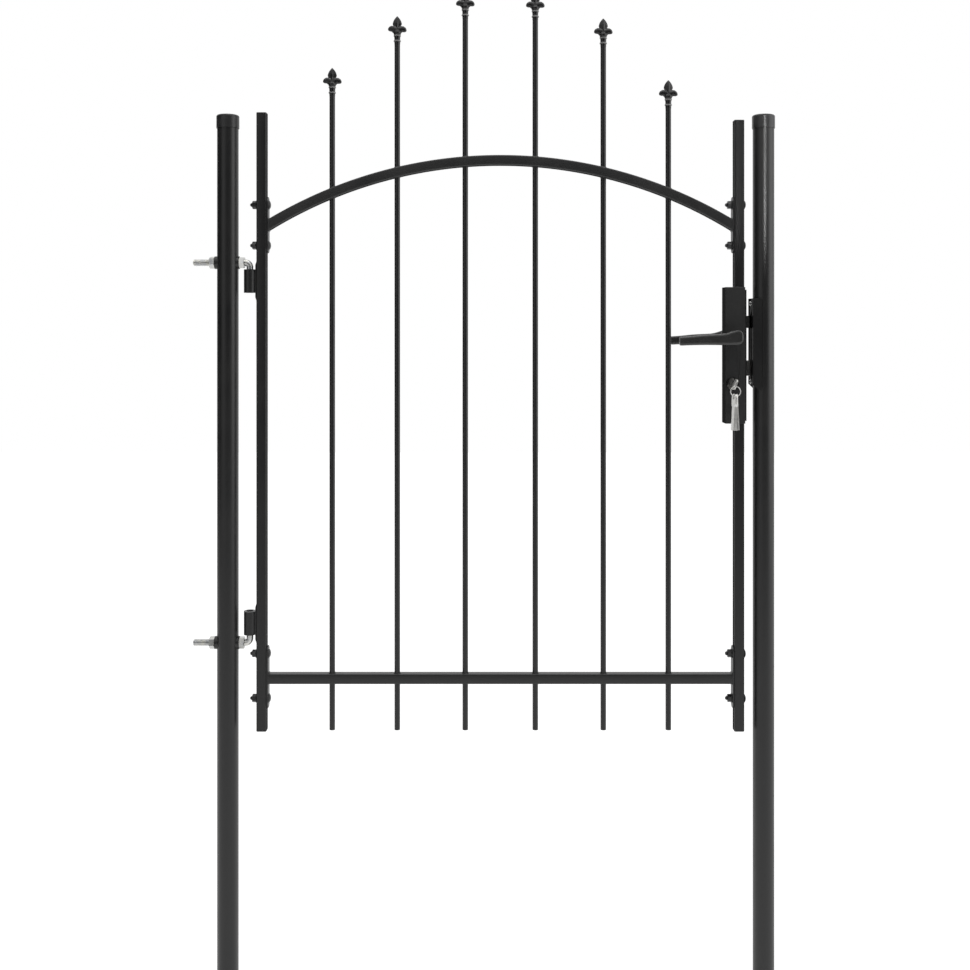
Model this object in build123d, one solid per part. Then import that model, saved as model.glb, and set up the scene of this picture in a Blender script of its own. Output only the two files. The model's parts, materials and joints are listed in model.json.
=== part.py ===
from build123d import *
import math
import os

# Arched steel garden gate: one barred leaf hung between two round posts, closed and locked.
# Sizes are in millimetres. The origin is the centre of the hinge post's foot,
# +X runs to the latch post, +Y away from the side with the key, and +Z up.

os.makedirs("parts", exist_ok=True)

# Posts and their caps
POST_DIAMETER = 38.0
POST_WALL = 1.5
POST_HEIGHT = 1596.0
POST_FOOT_THICKNESS = 3.0
CAP_WALL = 1.2
CAP_HEIGHT = 24.0
CAP_TOP_THICKNESS = 2.0
CAP_EDGE_RADIUS = 3.5
CAP_CLEARANCE = 0.1

# Leaf frame, square tube
LEAF_WIDTH = 875.4
LEAF_FOOT = 490.5
STILE_SIZE = 18.0
STILE_WALL = 1.5
HINGE_STILE_RISE = 200.5
LATCH_STILE_RISE = 187.0
PLUG_THICKNESS = 1.5
PLUG_DEPTH = 9.0
PLUG_CLEARANCE = 0.1
RAIL_SIZE = 18.0
RAIL_WALL = 1.5
ARCH_CROWN = 1514.6
ARCH_RADIUS = 803.5
BOTTOM_RAIL_RISE = 92.7

# Round bars and their spear heads
BAR_DIAMETER = 10.0
BAR_CLEARANCE = 0.1
BAR_OFFSETS = (-302.4, -185.4, -63.0, 63.0, 185.4, 302.4)
SPEAR_RISES = (225.5, 281.1, 308.4, 305.9, 277.1, 203.5)
SPEAR_SOCKET = 5.0
SPEAR_NECK_RADIUS = 5.3
SPEAR_RING_RADIUS = 6.1
SPEAR_RING_HEIGHT = 2.4
SPEAR_RING_SPACING = 9.6
LEAF_HEAD_WIDTH = 16.0
LEAF_HEAD_WIDEST = 13.4
LEAF_HEAD_END = 31.0
LEAF_HEAD_THICKNESS = 8.6
LEAF_HEAD_BULGE = (0.66, 0.45)
LEAF_HEAD_TAPER = (0.72, 0.7)
ARM_SPAN = 34.0
ARM_THICKNESS = 6.0
ARM_ROOT_DROP = 19.0
ARM_END_DROP = 25.5
ARM_FOOT_DROP = 34.0
ARM_CREST = (0.62, 0.5)
ARM_SHOULDER = (0.9, 4.0)
ARM_NOSE = (0.97, 3.0)
ARM_DROOP = (0.83, 4.0)
ARM_UNDERSIDE = (0.5, 4.2)

# End plates, welded to the rails and bolted to the stiles
PLATE_THICKNESS = 3.0
PLATE_WIDTH = 18.0
UPPER_PLATE_LENGTH = 101.0
UPPER_BOLT_OFFSETS = (-36.7, 36.3)
LOWER_PLATE_LENGTH = 112.0
LOWER_PLATE_RISE = 2.8
LOWER_BOLT_OFFSETS = (-39.0, 41.5)
BOLT_DIAMETER = 8.0
BOLT_HOLE_CLEARANCE = 0.25
BOLT_HEAD_DIAMETER = 17.0
BOLT_HEAD_HEIGHT = 4.0
BOLT_TIP = 4.0
BOLT_CONE = 3.0
BOLT_TIP_RADIUS = 2.0
NUT_FLATS = 13.0
NUT_HEIGHT = 6.5
WASHER_DIAMETER = 16.0
WASHER_THICKNESS = 1.6
THREAD_CLEARANCE = 0.05

# Hinges: a bent threaded rod through the post carries a barrel welded to the stile
ROD_DIAMETER = 12.0
ROD_HOLE_CLEARANCE = 0.25
ROD_BEND_RADIUS = 8.0
ROD_TAIL = 43.0
UPPER_ROD_DROP = 67.6
LOWER_ROD_RISE = 63.8
NUT_TO_BEND = 1.3
BARREL_DIAMETER = 21.6
BARREL_LENGTH = 42.0
BARREL_RODS_GAP_UPPER = 12.2
BARREL_RODS_GAP_LOWER = 15.0
PIN_CLEARANCE = 0.2
PIN_SHORT = 2.0
PAD_LENGTH = 70.0
PAD_WIDTH = 14.0
PAD_THICKNESS = 2.0
PAD_TAPER = 6.0
WEB_WIDTH = 11.0
WEB_DEPTH = 3.5
HINGE_NUT_FLATS = 19.0
HINGE_NUT_HEIGHT = 9.5
SADDLE_DIAMETER = 23.0
SADDLE_OUTER = 4.0
SADDLE_INNER = 2.0

# Lock case, welded into the latch stile, and the lock in it
CASE_DROP = 111.9
CASE_BACK_GAP = 1.3
CASE_THICKNESS = 30.0
CASE_WALL = 2.0
FACEPLATE_HEIGHT = 235.0
FACEPLATE_MARGIN = 4.6
FACEPLATE_WIDTH = 24.0
FACEPLATE_THICKNESS = 3.0
LOCK_BODY_DEPTH = 32.2
LOCK_BODY_HEIGHT = 180.0
LOCK_BODY_THICKNESS = 15.0
LOCK_BODY_RISE = 10.5
LOCK_CLEARANCE = 0.3
LOCK_FIT = 0.1
LATCH_HEIGHT = 22.0
LATCH_THICKNESS = 12.0
LATCH_RISE = 59.9
LATCH_THROW = 14.0
LATCH_TAIL = 14.0
LATCH_BEVEL = 9.0
LATCH_TIP = 4.0
DEAD_BOLT_HEIGHT = 28.0
DEAD_BOLT_THICKNESS = 12.0
DEAD_BOLT_DROP = 23.1
DEAD_BOLT_THROW = 20.0
DEAD_BOLT_TAIL = 9.0

# Key, cylinder and levers
CYLINDER_X_INSET = 23.0
CYLINDER_BOLT_GAP = 2.8
CYLINDER_RADIUS = 11.0
CYLINDER_PROUD = 4.0
PLUG_RADIUS = 6.5
PLUG_LENGTH = 16.0
PLUG_PROUD = 1.0
KEY_TILT = 18.0
KEY_THICKNESS = 2.4
KEY_BLADE_HEIGHT = 8.0
KEY_BLADE_LENGTH = 12.0
KEY_BOW_HEIGHT = 20.0
KEY_BOW_LENGTH = 25.0
KEY_BOW_RADIUS = 6.0
KEY_NECK = 4.0
KEY_HOLE_RADIUS = 4.2
KEY_HOLE_INSET = 7.0
LEVER_X_INSET = 23.0
HUB_LATCH_GAP = 9.0
SPINDLE_SIZE = 8.0
SPINDLE_LENGTH = 80.0
HUB_RADIUS = 7.0
LEVER_COLLAR_RADIUS = 11.5
LEVER_COLLAR_LENGTH = 11.0
LEVER_NECK_RADIUS = 9.0
LEVER_ARM_START = 30.0
LEVER_ARM_THICKNESS = 12.0
LEVER_ARM_LENGTH = 100.5
LEVER_ROOT_RISE = 13.9
LEVER_ROOT_DROP = 13.4
LEVER_WAIST = (0.305, 8.3)
LEVER_SPAN = (0.672, 4.0)
LEVER_TIP_RISE = 0.5
LEVER_TIP_DROP = 14.6
LEVER_ROUNDING = 2.5
LEVER_RUNNING_GAP = 0.3

# Keeper on the latch post
KEEPER_GAP = 10.0
KEEPER_DEPTH = 16.0
KEEPER_ABOVE_LATCH = 31.0
KEEPER_BELOW_BOLT = 23.0
KEEPER_THICKNESS = 2.0
KEEPER_EDGE = 7.0
KEEPER_CORNER = 8.0
KEEPER_SEAT = 0.05
KEEPER_SLOT_CLEARANCE = 0.8

# How far the parts of one casting or one cutter run into each other
OVERLAP = 1.0

# Places worked out from the sizes above
POST_RADIUS = POST_DIAMETER / 2
BAR_RADIUS = BAR_DIAMETER / 2
ROD_RADIUS = ROD_DIAMETER / 2
BARREL_RADIUS = BARREL_DIAMETER / 2
ROD_NUT_END = POST_RADIUS + SADDLE_INNER + HINGE_NUT_HEIGHT
PIN_X = ROD_NUT_END + NUT_TO_BEND + ROD_BEND_RADIUS
LEAF_LEFT = PIN_X + BARREL_RADIUS + PAD_THICKNESS
LEAF_RIGHT = LEAF_LEFT + LEAF_WIDTH
LEAF_MIDDLE = (LEAF_LEFT + LEAF_RIGHT) / 2
HINGE_STILE_X = LEAF_LEFT + STILE_SIZE / 2
LATCH_STILE_X = LEAF_RIGHT - STILE_SIZE / 2
RAIL_LEFT = LEAF_LEFT + STILE_SIZE + PLATE_THICKNESS
RAIL_RIGHT = LEAF_RIGHT - STILE_SIZE - PLATE_THICKNESS
ARCH_CENTRE = ARCH_CROWN - ARCH_RADIUS
ARCH_END = ARCH_CENTRE + math.sqrt(ARCH_RADIUS**2 - (RAIL_RIGHT - LEAF_MIDDLE) ** 2)
BOTTOM_RAIL_HEIGHT = LEAF_FOOT + BOTTOM_RAIL_RISE
LOWER_PLATE_CENTRE = BOTTOM_RAIL_HEIGHT + LOWER_PLATE_RISE
HINGE_STILE_TOP = ARCH_END + HINGE_STILE_RISE
LATCH_STILE_TOP = ARCH_END + LATCH_STILE_RISE
UPPER_ROD_HEIGHT = ARCH_END - UPPER_ROD_DROP
LOWER_ROD_HEIGHT = BOTTOM_RAIL_HEIGHT + LOWER_ROD_RISE
UPPER_BARREL_CENTRE = UPPER_ROD_HEIGHT - BARREL_RODS_GAP_UPPER - BARREL_LENGTH / 2
LOWER_BARREL_CENTRE = LOWER_ROD_HEIGHT + BARREL_RODS_GAP_LOWER + BARREL_LENGTH / 2
CASE_TOP = ARCH_END - CASE_DROP
CASE_HEIGHT = FACEPLATE_HEIGHT + 2 * FACEPLATE_MARGIN
CASE_FOOT = CASE_TOP - CASE_HEIGHT
CASE_LEFT = LEAF_RIGHT - LOCK_BODY_DEPTH - CASE_BACK_GAP - CASE_WALL
CASE_MIDDLE = CASE_FOOT + CASE_HEIGHT / 2
CASE_FACE = CASE_THICKNESS / 2
FACEPLATE_FACE = LEAF_RIGHT + FACEPLATE_THICKNESS
KEEPER_FACE = FACEPLATE_FACE + KEEPER_GAP
POST_SPACING = KEEPER_FACE + KEEPER_DEPTH + KEEPER_EDGE
LATCH_CENTRE = CASE_MIDDLE + LATCH_RISE
DEAD_BOLT_CENTRE = CASE_MIDDLE - DEAD_BOLT_DROP
CYLINDER_X = LEAF_RIGHT - CYLINDER_X_INSET
CYLINDER_HEIGHT = DEAD_BOLT_CENTRE - DEAD_BOLT_HEIGHT / 2 - CYLINDER_BOLT_GAP - CYLINDER_RADIUS
LEVER_X = LEAF_RIGHT - LEVER_X_INSET
LEVER_HEIGHT = LATCH_CENTRE - LATCH_HEIGHT / 2 - HUB_LATCH_GAP - HUB_RADIUS
SPEAR_RING_DROPS = (
    ARM_FOOT_DROP + SPEAR_RING_HEIGHT / 2,
    ARM_FOOT_DROP + SPEAR_RING_HEIGHT / 2 + SPEAR_RING_SPACING,
)
SPEAR_HEIGHT = SPEAR_RING_DROPS[1] + SPEAR_RING_HEIGHT / 2 + SPEAR_SOCKET

BASE = (Align.CENTER, Align.CENTER, Align.MIN)


def save(name, *solids):
    """Writes one node, whose like pieces are solids that stand apart."""
    shape = solids[0] if len(solids) == 1 else Compound(children=list(solids))
    export_step(shape, "parts/" + name + ".step")


def rod_x(radius, start, end, y, z):
    """A round bar along X."""
    return Pos(start, y, z) * Rot(0, 90, 0) * Cylinder(radius, end - start, align=BASE)


def rod_y(radius, x, start, end, z):
    """A round bar along Y, from start to end."""
    return Pos(x, end, z) * Rot(90, 0, 0) * Cylinder(radius, end - start, align=BASE)


def rod_z(radius, x, start, end):
    """A round bar along Z in the plane of the gate."""
    return Pos(x, 0, start) * Cylinder(radius, end - start, align=BASE)


def block(low, high):
    """A box between two opposite corners."""
    size = [b - a for a, b in zip(low, high)]
    middle = [(a + b) / 2 for a, b in zip(low, high)]
    return Pos(*middle) * Box(*size)


def square_tube(x, foot, top, size, wall):
    """An upright square tube, open at both ends."""
    half = size / 2
    bore = half - wall
    outside = block((x - half, -half, foot), (x + half, half, top))
    return outside - block((x - bore, -bore, foot), (x + bore, bore, top))


def in_gate_plane(*edges):
    """A face in the plane of the gate, drawn as X and Z."""
    return Plane.XZ * make_face(list(edges))


def bar_positions():
    """The bars' centres along X."""
    return [LEAF_MIDDLE + offset for offset in BAR_OFFSETS]


def spear_tip_heights():
    """Heights of the spear tips, each above the arch's centre line at its bar."""
    crests = [ARCH_CENTRE + math.sqrt(ARCH_RADIUS**2 - offset**2) for offset in BAR_OFFSETS]
    return [crest + rise for crest, rise in zip(crests, SPEAR_RISES)]


def plate_bolt_heights():
    """Heights of the bolts through the end plates, lower pair then upper pair."""
    lower = [LOWER_PLATE_CENTRE + offset for offset in LOWER_BOLT_OFFSETS]
    upper = [ARCH_END + offset for offset in UPPER_BOLT_OFFSETS]
    return lower + upper


def bolt_holes(left, right, heights):
    """Drillings along X for the bolts through a stile or an end plate."""
    radius = BOLT_DIAMETER / 2 + BOLT_HOLE_CLEARANCE
    return [rod_x(radius, left, right, 0, z) for z in heights]


def make_post_tube():
    """A round post with a closed foot, standing on the origin."""
    top = POST_HEIGHT - CAP_TOP_THICKNESS
    tube = rod_z(POST_RADIUS, 0, 0, top)
    return tube - rod_z(POST_RADIUS - POST_WALL, 0, POST_FOOT_THICKNESS, top)


def make_posts():
    hinge_post = make_post_tube()
    for height in (UPPER_ROD_HEIGHT, LOWER_ROD_HEIGHT):
        hole = ROD_RADIUS + ROD_HOLE_CLEARANCE
        hinge_post -= rod_x(hole, -POST_DIAMETER, POST_DIAMETER, 0, height)
    save("hinge_post", hinge_post)

    latch_post = Pos(POST_SPACING, 0, 0) * make_post_tube()
    for slot in keeper_slots(POST_SPACING - POST_DIAMETER, POST_SPACING):
        latch_post -= slot
    save("latch_post", latch_post)


def make_caps():
    """Push-on caps with a rounded top edge."""
    bore = POST_RADIUS + CAP_CLEARANCE
    caps = []
    for x in (0, POST_SPACING):
        cap = rod_z(bore + CAP_WALL, x, POST_HEIGHT - CAP_HEIGHT, POST_HEIGHT)
        cap = fillet(cap.edges().sort_by(Axis.Z)[-1], CAP_EDGE_RADIUS)
        top = POST_HEIGHT - CAP_TOP_THICKNESS
        caps.append(cap - rod_z(bore, x, POST_HEIGHT - CAP_HEIGHT, top))
    save("hinge_post_cap", caps[0])
    save("latch_post_cap", caps[1])


def make_stiles():
    heights = plate_bolt_heights()

    hinge_stile = square_tube(HINGE_STILE_X, LEAF_FOOT, HINGE_STILE_TOP, STILE_SIZE, STILE_WALL)
    for hole in bolt_holes(LEAF_LEFT, RAIL_LEFT, heights):
        hinge_stile -= hole
    save("hinge_stile", hinge_stile)

    latch_lower = square_tube(LATCH_STILE_X, LEAF_FOOT, CASE_FOOT, STILE_SIZE, STILE_WALL)
    latch_upper = square_tube(LATCH_STILE_X, CASE_TOP, LATCH_STILE_TOP, STILE_SIZE, STILE_WALL)
    for hole in bolt_holes(RAIL_RIGHT, LEAF_RIGHT, heights[:2]):
        latch_lower -= hole
    for hole in bolt_holes(RAIL_RIGHT, LEAF_RIGHT, heights[2:]):
        latch_upper -= hole
    save("latch_stile_lower", latch_lower)
    save("latch_stile_upper", latch_upper)

    plugs = []
    for x, top in ((HINGE_STILE_X, HINGE_STILE_TOP), (LATCH_STILE_X, LATCH_STILE_TOP)):
        plugs.append(Pos(x, 0, top) * make_stile_plug())
        plugs.append(Pos(x, 0, LEAF_FOOT) * Rot(180, 0, 0) * make_stile_plug())
    save("stile_plugs", *plugs)


def make_stile_plug():
    """A flat insert in a tube's open end, with its lid flush on the cut edge."""
    stem = STILE_SIZE - 2 * STILE_WALL - 2 * PLUG_CLEARANCE
    lid = Box(STILE_SIZE, STILE_SIZE, PLUG_THICKNESS, align=BASE)
    return lid + Pos(0, 0, -PLUG_DEPTH) * Box(stem, stem, PLUG_DEPTH, align=BASE)


def arch_band(inner, outer, depth, left, right):
    """A stretch of a curved bar of rectangular section about the arch's centre."""
    centre = Pos(LEAF_MIDDLE, 0, ARCH_CENTRE) * Rot(90, 0, 0)
    disc = centre * Cylinder(outer, depth) - centre * Cylinder(inner, depth)
    half = depth / 2
    return disc & block((left, -half, ARCH_CENTRE + inner / 2), (right, half, ARCH_CROWN + outer))


def punched_holes(foot, top):
    """Round holes for the bars, through a rail."""
    return [rod_z(BAR_RADIUS + BAR_CLEARANCE, x, foot, top) for x in bar_positions()]


def make_rails():
    half = RAIL_SIZE / 2
    bore = half - RAIL_WALL
    arched = arch_band(ARCH_RADIUS - half, ARCH_RADIUS + half, RAIL_SIZE, RAIL_LEFT, RAIL_RIGHT)
    arched -= arch_band(ARCH_RADIUS - bore, ARCH_RADIUS + bore, 2 * bore, RAIL_LEFT, RAIL_RIGHT)
    for hole in punched_holes(ARCH_END - RAIL_SIZE, ARCH_CROWN + RAIL_SIZE):
        arched -= hole
    save("arched_rail", arched)

    low = BOTTOM_RAIL_HEIGHT - half
    high = BOTTOM_RAIL_HEIGHT + half
    straight = block((RAIL_LEFT, -half, low), (RAIL_RIGHT, half, high))
    straight -= block((RAIL_LEFT, -bore, low + RAIL_WALL), (RAIL_RIGHT, bore, high - RAIL_WALL))
    for hole in punched_holes(low, high):
        straight -= hole
    save("bottom_rail", straight)


def make_leaf_head():
    """The middle leaf of a spear head, ridged down its centre, with its tip at the origin."""
    half = LEAF_HEAD_WIDTH / 2
    shoulder = (half, -LEAF_HEAD_WIDEST)
    bulge = (half * LEAF_HEAD_BULGE[0], -LEAF_HEAD_WIDEST * LEAF_HEAD_BULGE[1])
    foot = (0, -LEAF_HEAD_END)
    taper = (half * LEAF_HEAD_TAPER[0], -LEAF_HEAD_END * LEAF_HEAD_TAPER[1])
    outline = in_gate_plane(
        ThreePointArc((0, 0), bulge, shoulder),
        ThreePointArc(shoulder, taper, foot),
        ThreePointArc(foot, (-taper[0], taper[1]), (-half, -LEAF_HEAD_WIDEST)),
        ThreePointArc((-half, -LEAF_HEAD_WIDEST), (-bulge[0], bulge[1]), (0, 0)),
    )
    plate = extrude(outline, LEAF_HEAD_THICKNESS, both=True)
    edge = half + OVERLAP
    ridge = Polygon((-edge, 0), (0, -LEAF_HEAD_THICKNESS / 2), (edge, 0), (0, LEAF_HEAD_THICKNESS / 2))
    prism = extrude(ridge, -LEAF_HEAD_END)
    return plate & prism


def make_spear_arms():
    """The two curled side leaves of a spear head."""
    reach = ARM_SPAN / 2
    root = (0, -ARM_ROOT_DROP)
    crest = (reach * ARM_CREST[0], -ARM_ROOT_DROP + ARM_CREST[1])
    shoulder = (reach * ARM_SHOULDER[0], -ARM_END_DROP + ARM_SHOULDER[1])
    tip = (reach, -ARM_END_DROP)
    nose = (reach * ARM_NOSE[0], -ARM_END_DROP - ARM_NOSE[1])
    droop = (reach * ARM_DROOP[0], -ARM_END_DROP - ARM_DROOP[1])
    underside = (reach * ARM_UNDERSIDE[0], -ARM_END_DROP - ARM_UNDERSIDE[1])
    foot = (SPEAR_NECK_RADIUS, -ARM_FOOT_DROP)
    edges = []
    for side in (1, -1):
        points = [(side * x, z) for x, z in (root, crest, shoulder, tip, nose, droop, underside, foot)]
        edges.append(Line(points[0], points[1]))
        edges.append(ThreePointArc(points[1], points[2], points[3]))
        edges.append(ThreePointArc(points[3], points[4], points[5]))
        edges.append(ThreePointArc(points[5], points[6], points[7]))
    edges.append(Line((SPEAR_NECK_RADIUS, -ARM_FOOT_DROP), (-SPEAR_NECK_RADIUS, -ARM_FOOT_DROP)))
    return extrude(in_gate_plane(*edges), ARM_THICKNESS / 2, both=True)


def make_spear():
    """A cast spear head on its collar, with its tip at the origin."""
    spear = make_leaf_head() + make_spear_arms()
    spear += rod_z(SPEAR_NECK_RADIUS, 0, -SPEAR_HEIGHT, -ARM_FOOT_DROP + OVERLAP)
    for drop in SPEAR_RING_DROPS:
        half = SPEAR_RING_HEIGHT / 2
        spear += rod_z(SPEAR_RING_RADIUS, 0, -drop - half, -drop + half)
    return spear


def make_bars():
    spear = make_spear()
    for index, (x, tip) in enumerate(zip(bar_positions(), spear_tip_heights()), 1):
        save(f"bar_{index}", rod_z(BAR_RADIUS, x, LEAF_FOOT, tip - SPEAR_HEIGHT))
        save(f"spear_{index}", Pos(x, 0, tip) * spear)


def make_end_plate(left, centre, length, heights):
    """A round-ended plate against a stile's inner face."""
    face = Plane.YZ.offset(left) * Pos(0, centre) * Rot(0, 0, 90) * SlotOverall(length, PLATE_WIDTH)
    plate = extrude(face, PLATE_THICKNESS)
    for hole in bolt_holes(left, left + PLATE_THICKNESS, heights):
        plate -= hole
    return plate


def make_end_plates():
    heights = plate_bolt_heights()
    rows = (
        ("lower", LOWER_PLATE_CENTRE, LOWER_PLATE_LENGTH, heights[:2]),
        ("upper", ARCH_END, UPPER_PLATE_LENGTH, heights[2:]),
    )
    for name, centre, length, bolts in rows:
        pair = [
            make_end_plate(left, centre, length, bolts)
            for left in (RAIL_LEFT - PLATE_THICKNESS, RAIL_RIGHT)
        ]
        save(name + "_end_plates", *pair)


def make_domed_bolt(grip):
    """A domed bolt along +Z, with the underside of its head at the origin."""
    rim = BOLT_HEAD_DIAMETER / 2
    dome_radius = (rim**2 + BOLT_HEAD_HEIGHT**2) / (2 * BOLT_HEAD_HEIGHT)
    dome = Pos(0, 0, dome_radius - BOLT_HEAD_HEIGHT) * Sphere(dome_radius)
    head = dome & Pos(0, 0, -BOLT_HEAD_HEIGHT) * Cylinder(rim, BOLT_HEAD_HEIGHT, align=BASE)
    radius = BOLT_DIAMETER / 2
    thread_end = grip + WASHER_THICKNESS + NUT_HEIGHT + BOLT_TIP
    cone_start = thread_end - BOLT_CONE
    bolt = head + Cylinder(radius, cone_start, align=BASE)
    return bolt + Pos(0, 0, cone_start) * Cone(radius, BOLT_TIP_RADIUS, BOLT_CONE, align=BASE)


def make_nut(flats, height, bore):
    """A hexagon nut standing on the origin."""
    nut = extrude(RegularPolygon(flats / 2, 6, major_radius=False), height)
    return nut - Cylinder(bore, height, align=BASE)


def make_nut_on_washer():
    bore = BOLT_DIAMETER / 2 + THREAD_CLEARANCE
    washer = Cylinder(WASHER_DIAMETER / 2, WASHER_THICKNESS, align=BASE)
    washer -= Cylinder(bore, WASHER_THICKNESS, align=BASE)
    return washer + Pos(0, 0, WASHER_THICKNESS) * make_nut(NUT_FLATS, NUT_HEIGHT, bore)


def make_plate_bolts():
    """Domed bolts that fix the end plates: heads inwards at the hinge side, outwards at the latch."""
    grip = STILE_SIZE + PLATE_THICKNESS
    bolt = make_domed_bolt(grip)
    nut = make_nut_on_washer()
    turn = Rot(0, -90, 0)
    for name, head_x in (("hinge_stile", RAIL_LEFT), ("latch_stile", LEAF_RIGHT)):
        bolts = [Pos(head_x, 0, z) * turn * bolt for z in plate_bolt_heights()]
        nuts = [Pos(head_x - grip, 0, z) * turn * nut for z in plate_bolt_heights()]
        save(name + "_bolts", *bolts)
        save(name + "_nuts", *nuts)


def make_hinge_rod(height, pin_end):
    """A threaded rod through the post, bent up or down into the hinge pin."""
    start = (-POST_RADIUS - ROD_TAIL, 0, height)
    path = FilletPolyline(start, (PIN_X, 0, height), (PIN_X, 0, pin_end), radius=ROD_BEND_RADIUS)
    section = Plane(origin=start, z_dir=(1, 0, 0)) * Circle(ROD_RADIUS)
    return sweep(section, path=path)


def make_saddle_washer(height, flat, side):
    """A washer shaped to the round post, with its flat side outwards."""
    outer = side * (POST_RADIUS + flat)
    washer = rod_x(SADDLE_DIAMETER / 2, min(0, outer), max(0, outer), 0, height)
    washer -= rod_x(ROD_RADIUS + ROD_HOLE_CLEARANCE, -POST_DIAMETER, POST_DIAMETER, 0, height)
    return washer - rod_z(POST_RADIUS, 0, height - SADDLE_DIAMETER, height + SADDLE_DIAMETER)


def make_barrel(height):
    """A hinge barrel with its weld web on a tapered pad, against the hinge stile."""
    low = height - BARREL_LENGTH / 2
    high = height + BARREL_LENGTH / 2
    barrel = rod_z(BARREL_RADIUS, PIN_X, low, high)
    web_start = LEAF_LEFT - PAD_THICKNESS - WEB_DEPTH
    web = block((web_start, -WEB_WIDTH / 2, low), (LEAF_LEFT, WEB_WIDTH / 2, high))
    pad_left = LEAF_LEFT - PAD_THICKNESS
    half = PAD_LENGTH / 2
    pad_outline = Polygon(
        (LEAF_LEFT, height - half),
        (LEAF_LEFT, height + half),
        (pad_left, height + half - PAD_TAPER),
        (pad_left, height - half + PAD_TAPER),
        align=None,
    )
    pad = extrude(Plane.XZ * pad_outline, PAD_WIDTH / 2, both=True)
    return barrel + web + pad - rod_z(ROD_RADIUS + PIN_CLEARANCE, PIN_X, low, high)


def make_hinges():
    upper_pin_end = UPPER_BARREL_CENTRE - BARREL_LENGTH / 2 + PIN_SHORT
    lower_pin_end = LOWER_BARREL_CENTRE + BARREL_LENGTH / 2 - PIN_SHORT
    save("upper_hinge_rod", make_hinge_rod(UPPER_ROD_HEIGHT, upper_pin_end))
    save("lower_hinge_rod", make_hinge_rod(LOWER_ROD_HEIGHT, lower_pin_end))
    save("upper_hinge_barrel", make_barrel(UPPER_BARREL_CENTRE))
    save("lower_hinge_barrel", make_barrel(LOWER_BARREL_CENTRE))

    nut = make_nut(HINGE_NUT_FLATS, HINGE_NUT_HEIGHT, ROD_RADIUS + THREAD_CLEARANCE)
    outer_face = -POST_RADIUS - SADDLE_OUTER
    inner_face = POST_RADIUS + SADDLE_INNER
    nuts = []
    washers = []
    for height in (UPPER_ROD_HEIGHT, LOWER_ROD_HEIGHT):
        nuts.append(Pos(outer_face, 0, height) * Rot(0, -90, 0) * nut)
        nuts.append(Pos(inner_face, 0, height) * Rot(0, 90, 0) * nut)
        washers.append(make_saddle_washer(height, SADDLE_OUTER, -1))
        washers.append(make_saddle_washer(height, SADDLE_INNER, 1))
    save("hinge_rod_nuts", *nuts)
    save("saddle_washers", *washers)


def make_lock_case():
    """The welded box that the lock sits in, open on the side of the faceplate."""
    low = (CASE_LEFT, -CASE_FACE, CASE_FOOT)
    high = (LEAF_RIGHT, CASE_FACE, CASE_TOP)
    inner_low = [v + CASE_WALL for v in low]
    inner_high = [v - CASE_WALL for v in high]
    case = block(low, high) - block(inner_low, inner_high)
    half = LOCK_BODY_THICKNESS / 2 + LOCK_CLEARANCE
    foot = lock_body_foot() - LOCK_CLEARANCE
    top = lock_body_foot() + LOCK_BODY_HEIGHT + LOCK_CLEARANCE
    case -= block((LEAF_RIGHT - 2 * CASE_WALL, -half, foot), (LEAF_RIGHT, half, top))
    spindle_hole = SPINDLE_SIZE / math.sqrt(2) + LOCK_CLEARANCE
    case -= rod_y(spindle_hole, LEVER_X, -CASE_THICKNESS, CASE_THICKNESS, LEVER_HEIGHT)
    cylinder_hole = CYLINDER_RADIUS + LOCK_FIT
    case -= rod_y(cylinder_hole, CYLINDER_X, -CASE_THICKNESS, CASE_THICKNESS, CYLINDER_HEIGHT)
    save("lock_case", case)


def lock_body_foot():
    """The lower end of the lock body in its case."""
    return CASE_MIDDLE - LOCK_BODY_HEIGHT / 2 + LOCK_BODY_RISE


def bolt_space(start, end, thickness, height, centre, clearance):
    """The room that a lock bolt slides in, widened by a clearance."""
    half = thickness / 2 + clearance
    rise = height / 2 + clearance
    return block((start, -half, centre - rise), (end, half, centre + rise))


def keeper_slots(start, end):
    """Slots for the latch and the dead bolt, through the keeper or the latch post."""
    spare = KEEPER_SLOT_CLEARANCE
    return [
        bolt_space(start, end, LATCH_THICKNESS, LATCH_HEIGHT, LATCH_CENTRE, spare),
        bolt_space(start, end, DEAD_BOLT_THICKNESS, DEAD_BOLT_HEIGHT, DEAD_BOLT_CENTRE, spare),
    ]


def lock_channels(end):
    """Running channels of the latch and the dead bolt in the lock."""
    latch_start = LEAF_RIGHT - LATCH_TAIL - LATCH_THROW - LOCK_CLEARANCE
    dead_start = LEAF_RIGHT - DEAD_BOLT_TAIL - DEAD_BOLT_THROW - LOCK_CLEARANCE
    spare = LOCK_CLEARANCE
    return [
        bolt_space(latch_start, end, LATCH_THICKNESS, LATCH_HEIGHT, LATCH_CENTRE, spare),
        bolt_space(dead_start, end, DEAD_BOLT_THICKNESS, DEAD_BOLT_HEIGHT, DEAD_BOLT_CENTRE, spare),
    ]


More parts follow.
